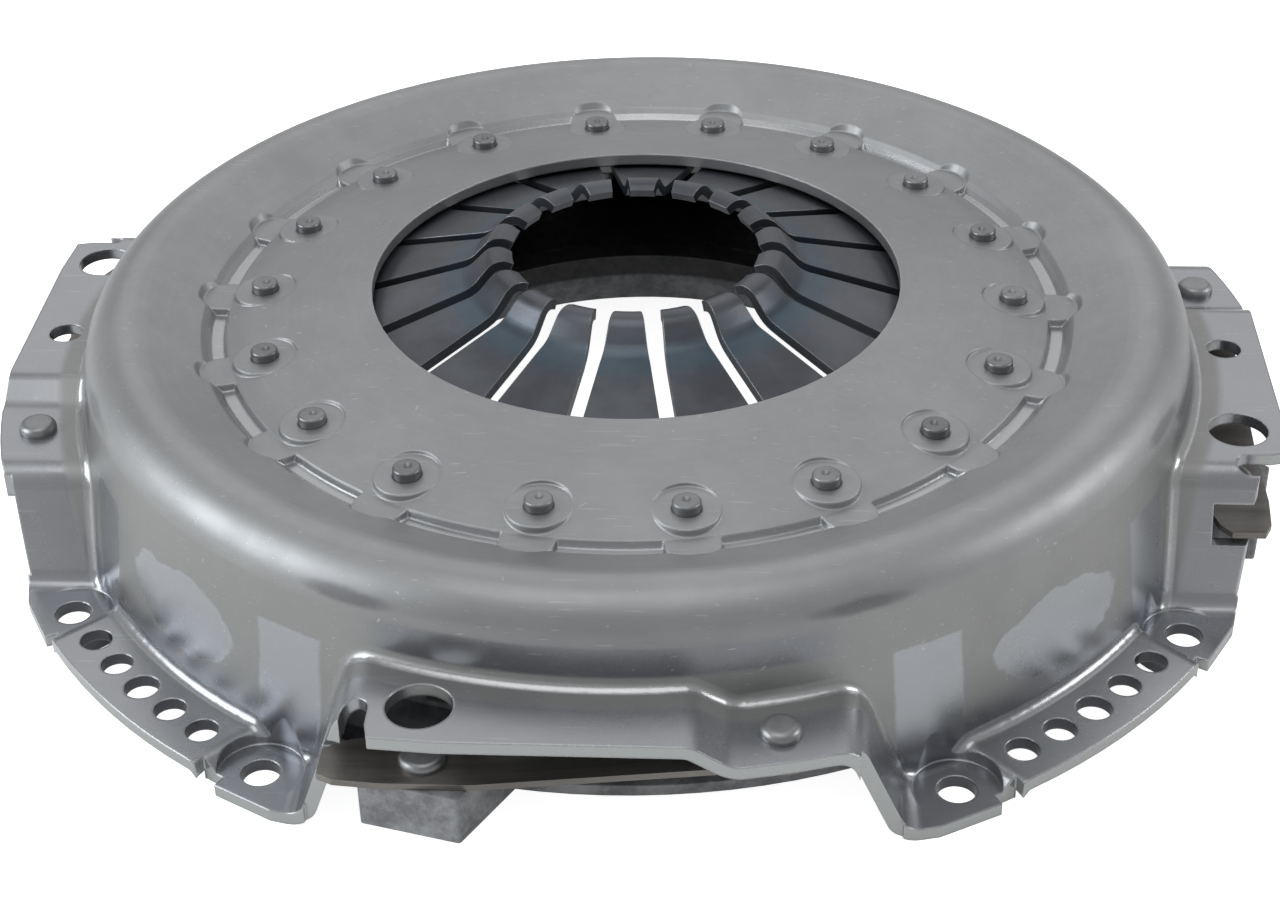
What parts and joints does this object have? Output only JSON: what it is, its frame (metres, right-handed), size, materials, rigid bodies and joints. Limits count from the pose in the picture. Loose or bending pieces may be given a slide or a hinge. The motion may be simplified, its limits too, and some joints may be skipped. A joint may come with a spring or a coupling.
{
  "type": "clutch pressure plate",
  "caption": "Clutch cover assembly: domed steel cover with stepped bolt flange, slotted diaphragm spring and strap-hung iron pressure plate.",
  "frame": {"origin": "on the shaft axis, in the plane of the undersides of the eight mounting pads, which is also the centre of the mounting bolt circle", "axes": "+Z along the shaft axis from the flywheel towards the gearbox, -Y through the middle of the raised flange without the mark hole"},
  "size_m": [0.3622, 0.3622, 0.0727],
  "materials": {
    "pressed_steel": "pressed sheet steel, oiled, satin, with draw marks",
    "spring_steel": "hardened spring steel, dark heat colour, smooth",
    "plain_steel": "pressed steel ring, plain",
    "bolt_steel": "cold-headed steel, upset ends",
    "iron": "grey cast iron, rough casting with ground friction face",
    "strap_steel": "brown tempered spring steel strip",
    "rivet_steel": "plain steel rivet"
  },
  "bodies": {
    "cover_body": {"cover": "pressed_steel", "diaphragm_spring": "spring_steel", "support_ring": "plain_steel", "spacer_bolts": "bolt_steel", "strap_front_top": "strap_steel", "strap_front_middle": "strap_steel", "strap_front_bottom": "strap_steel", "strap_right_top": "strap_steel", "strap_right_middle": "strap_steel", "strap_right_bottom": "strap_steel", "strap_back_top": "strap_steel", "strap_back_middle": "strap_steel", "strap_back_bottom": "strap_steel", "strap_left_top": "strap_steel", "strap_left_middle": "strap_steel", "strap_left_bottom": "strap_steel", "cover_rivet_front": "rivet_steel", "cover_rivet_right": "rivet_steel", "cover_rivet_back": "rivet_steel", "cover_rivet_left": "rivet_steel"},
    "plate_body": {"pressure_plate": "iron", "lug_rivet_front": "rivet_steel", "lug_rivet_right": "rivet_steel", "lug_rivet_back": "rivet_steel", "lug_rivet_left": "rivet_steel"}
  },
  "joints": [
    {"name": "plate_lift", "type": "slide", "parent": "cover_body", "child": "plate_body", "axis": [0, 0, 1], "range_m": [0, 0.007], "stiffness_N_per_m": 20000, "springref_m": -0.01, "deforming": ["diaphragm_spring", "strap_front_top", "strap_front_middle", "strap_front_bottom", "strap_right_top", "strap_right_middle", "strap_right_bottom", "strap_back_top", "strap_back_middle", "strap_back_bottom", "strap_left_top", "strap_left_middle", "strap_left_bottom"]}
  ]
}
